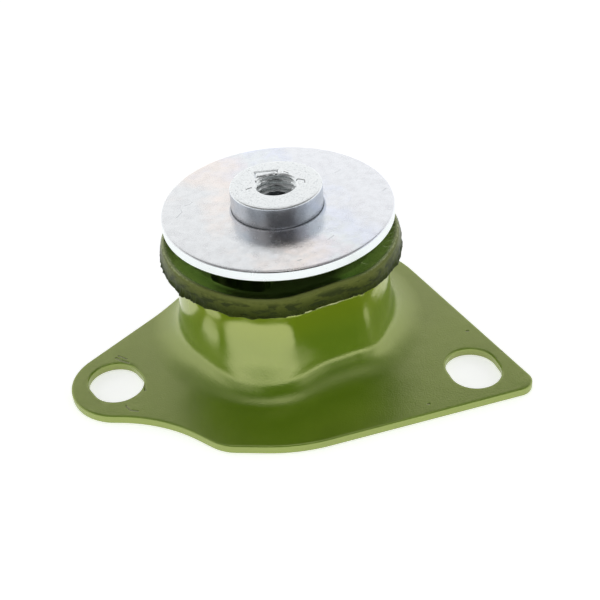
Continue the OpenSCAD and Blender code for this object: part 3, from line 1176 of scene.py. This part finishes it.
def zinc_plate():
    """Bright zinc with a faint play of colour, fine grain, a few scratches and painted shade on the rounded
    rim.
    """
    material, tree, shader = new_material("zinc_plate", Metallic=1.0)
    place, x, y, z = millimetres(tree)
    across = maths("ADD", x, times(y, 0.6))
    swirl = maths("ADD", across, times(noise_value(place, 0.11, 4, 0.6), 34.0))
    colour = ramp(span(swirl, -12.0, 46.0), ZINC_PLAY)
    marked = times(strokes(place, DISC_MARKS, DISC_TOP), 0.35)
    speckled = tinted(times(specks(place, 5.0, 0.58, 0.75), 0.35), colour, ZINC_SPECK)
    # Painted shade: the rim below the top face is drawn darker.
    rim_shaded = tinted(span(z, DISC_TOP - 0.35, DISC_TOP - 0.1, 1.0, 0.0), speckled, ZINC_RIM_SHADE)
    join(shader, "Base Color", tinted(marked, rim_shaded, ZINC_SCRATCH))
    cloud = noise_value(place, 0.5, 4)
    join(shader, "Roughness", span(cloud, 0.3, 0.7, 0.20, 0.28))
    grain = bump(noise_value(place, 4.5, 4, 0.7), 0.012)
    join(shader, "Normal", bump(marked, -0.03, grain))
    return material


def core_steel():
    """Zinc-plated turned steel, speckled on top; the bright top and bore are painted light, and the darker,
    bluer side is painted shade.
    """
    material, tree, shader = new_material("core_steel", Metallic=1.0)
    place, x, y, z = millimetres(tree)
    top = span(z, CORE_TOP - 0.35, CORE_TOP - 0.05)
    low = span(z, DISC_TOP, DISC_TOP + 0.22, 1.0, 0.0)
    # The side is painted darker than the top: painted shade.
    side = ramp(noise_value(place, 0.4, 4), STEEL_SIDE_SHADED)
    out = vectors("LENGTH", {0: combined(x, y)}, "Value")
    # The bore and its threads are painted near white: painted light in a recess that lamps hardly reach.
    bore_lit = tinted(span(out, 5.3, 6.0, 1.0, 0.0), side, STEEL_BORE_LIT)
    # The top face is painted bright: painted light.
    face = tinted(top, bore_lit, STEEL_TOP_LIT)
    speckled = tinted(times(specks(place, 3.6, 0.54, 0.70), 0.5), face, STEEL_SPECK)
    lined = tinted(times(low, 0.8), speckled, STEEL_DARK)
    marked = strokes(place, STEEL_MARKS, CORE_TOP)
    join(shader, "Base Color", tinted(times(marked, 0.8), lined, STEEL_DARK))
    join(shader, "Roughness", span(top, 0.0, 1.0, 0.27, 0.24))
    grain = bump(noise_value(place, 3.4, 4, 0.7), 0.02)
    join(shader, "Normal", bump(marked, -0.08, grain))
    return material


# Studio
def make_camera():
    data = bpy.data.cameras.new("camera")
    camera = put_in_scene("camera", data)
    cos_e, sin_e = cos(CAMERA_ELEVATION), sin(CAMERA_ELEVATION)
    back = Vector((sin(CAMERA_AZIMUTH) * cos_e, -cos(CAMERA_AZIMUTH) * cos_e, sin_e))
    right = Vector((cos(CAMERA_AZIMUTH), sin(CAMERA_AZIMUTH), 0))
    up = back.cross(right)
    cos_r, sin_r = cos(CAMERA_ROLL), sin(CAMERA_ROLL)
    turned_right = right * cos_r + up * sin_r
    turned_up = up * cos_r - right * sin_r
    turn = Matrix((turned_right, turned_up, back)).transposed()
    camera.matrix_world = Matrix.Translation(Vector(CAMERA_AT) * MM) @ turn.to_4x4()
    data.sensor_width = CAMERA_SENSOR
    data.lens = CAMERA_LENS
    data.clip_start = 0.01
    bpy.context.scene.camera = camera


def make_light(name, place, size, power):
    data = bpy.data.lights.new(name, "AREA")
    data.shape = "RECTANGLE"
    data.size, data.size_y = size
    data.energy = power
    light = put_in_scene(name, data)
    light.visible_glossy = False
    light.location = place
    light.rotation_mode = "QUATERNION"
    light.rotation_quaternion = (Vector(place) - Vector(SOFTBOX_AIM)).to_track_quat("Z", "Y")


def make_floor():
    """A pale floor that glows a little where the camera or a reflection sees it."""
    mesh = bpy.data.meshes.new("floor")
    far = FLOOR_HALF
    mesh.from_pydata([(-far, -far, 0), (far, -far, 0), (far, far, 0), (-far, far, 0)], [], [(0, 1, 2, 3)])
    floor = put_in_scene("floor", mesh)
    floor.location.z = -FLOOR_DROP
    material = bpy.data.materials.new("floor")
    material.use_nodes = True
    tree = material.node_tree
    tree.nodes.clear()
    rays = add_node(tree, "LightPath").outputs
    seen = maths("MAXIMUM", rays["Is Camera Ray"], rays["Is Glossy Ray"])
    diffuse = add_node(tree, "BsdfDiffuse", {"Color": (0.9, 0.9, 0.9, 1)}).outputs[0]
    strength = span(rays["Is Glossy Ray"], 0.0, 1.0, FLOOR_GLOW, FLOOR_MIRRORED)
    glow = linked("Emission", {"Color": (1, 1, 1, 1), "Strength": strength}).outputs[0]
    both = linked("AddShader", {0: diffuse, 1: glow}).outputs[0]
    mixed = linked("MixShader", {0: seen, 1: diffuse, 2: both}).outputs[0]
    tree.links.new(mixed, add_node(tree, "OutputMaterial").inputs["Surface"])
    mesh.materials.append(material)


def make_world():
    """A light tent: bright low down, darker overhead, with a dim gap where the camera stands."""
    world = bpy.data.worlds.new("studio")
    bpy.context.scene.world = world
    world.use_nodes = True
    tree = world.node_tree
    tree.nodes.clear()
    direction = add_node(tree, "TexCoord").outputs["Generated"]
    x, y, z = linked("SeparateXYZ", {0: direction}).outputs
    tent = span(z, sin(TENT_BRIGHT), sin(TENT_DARK), 1.0, TENT_TOP)
    front = times(y, -1.0)
    bearing = maths("ARCTAN2", x, front)
    dimmed = times(span(front, 0.0, 0.35), span(z, 0.05, 0.35))
    rise = (GAP_START - GAP_SOFT, GAP_START + GAP_SOFT)
    fall = (GAP_END - GAP_SOFT, GAP_END + GAP_SOFT)
    gap = times(dimmed, window(bearing, rise, fall))
    sides = times(tent, span(dimmed, 0.0, 1.0, 1.0, FRONT_LEVEL))
    round_about = times(sides, span(gap, 0.0, 1.0, 1.0, GAP_LEVEL))
    overhead = span(z, sin(ZENITH_START), sin(ZENITH_END), 0.0, ZENITH_LEVEL)
    level = maths("MAXIMUM", round_about, overhead)
    seen = add_node(tree, "LightPath").outputs["Is Camera Ray"]
    tent_glow = linked("Background", {"Color": (0.97, 0.99, 1.0, 1), "Strength": level}).outputs[0]
    white = add_node(tree, "Background", {"Color": (1, 1, 1, 1), "Strength": 1.0}).outputs[0]
    mixed = linked("MixShader", {0: seen, 1: tent_glow, 2: white}).outputs[0]
    tree.links.new(mixed, add_node(tree, "OutputWorld").inputs["Surface"])


def make_studio():
    make_world()
    make_floor()
    for softbox in SOFTBOXES:
        make_light(*softbox)
    bpy.context.scene.view_settings.view_transform = "Standard"


make_camera()
make_studio()
paint, rubber, zinc, steel = green_finish(), oversprayed_rubber(), zinc_plate(), core_steel()
make_piece("pressed_bracket", flange_skin(), paint, "bracket", "flange_cup")
make_piece("rubber_lip", lip_skin(), rubber, "bracket", "rubber_body")
for i in range(WEB_SECTORS):
    start, end = (VOID_START + tau * k / WEB_SECTORS for k in (i, i + 1))
    void = {0: 1, WEB_SECTORS // 3 - 1: -1}.get(i % (WEB_SECTORS // 3), 0)
    web = make_piece(f"rubber_web_{i + 1}", web_skin(start, end, void), rubber)
    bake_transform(web)
make_piece("threaded_core", core_skin(), steel, "core", "core_bush")
make_piece("washer_disc", disc_skin(), zinc, "core", "stop_disc")
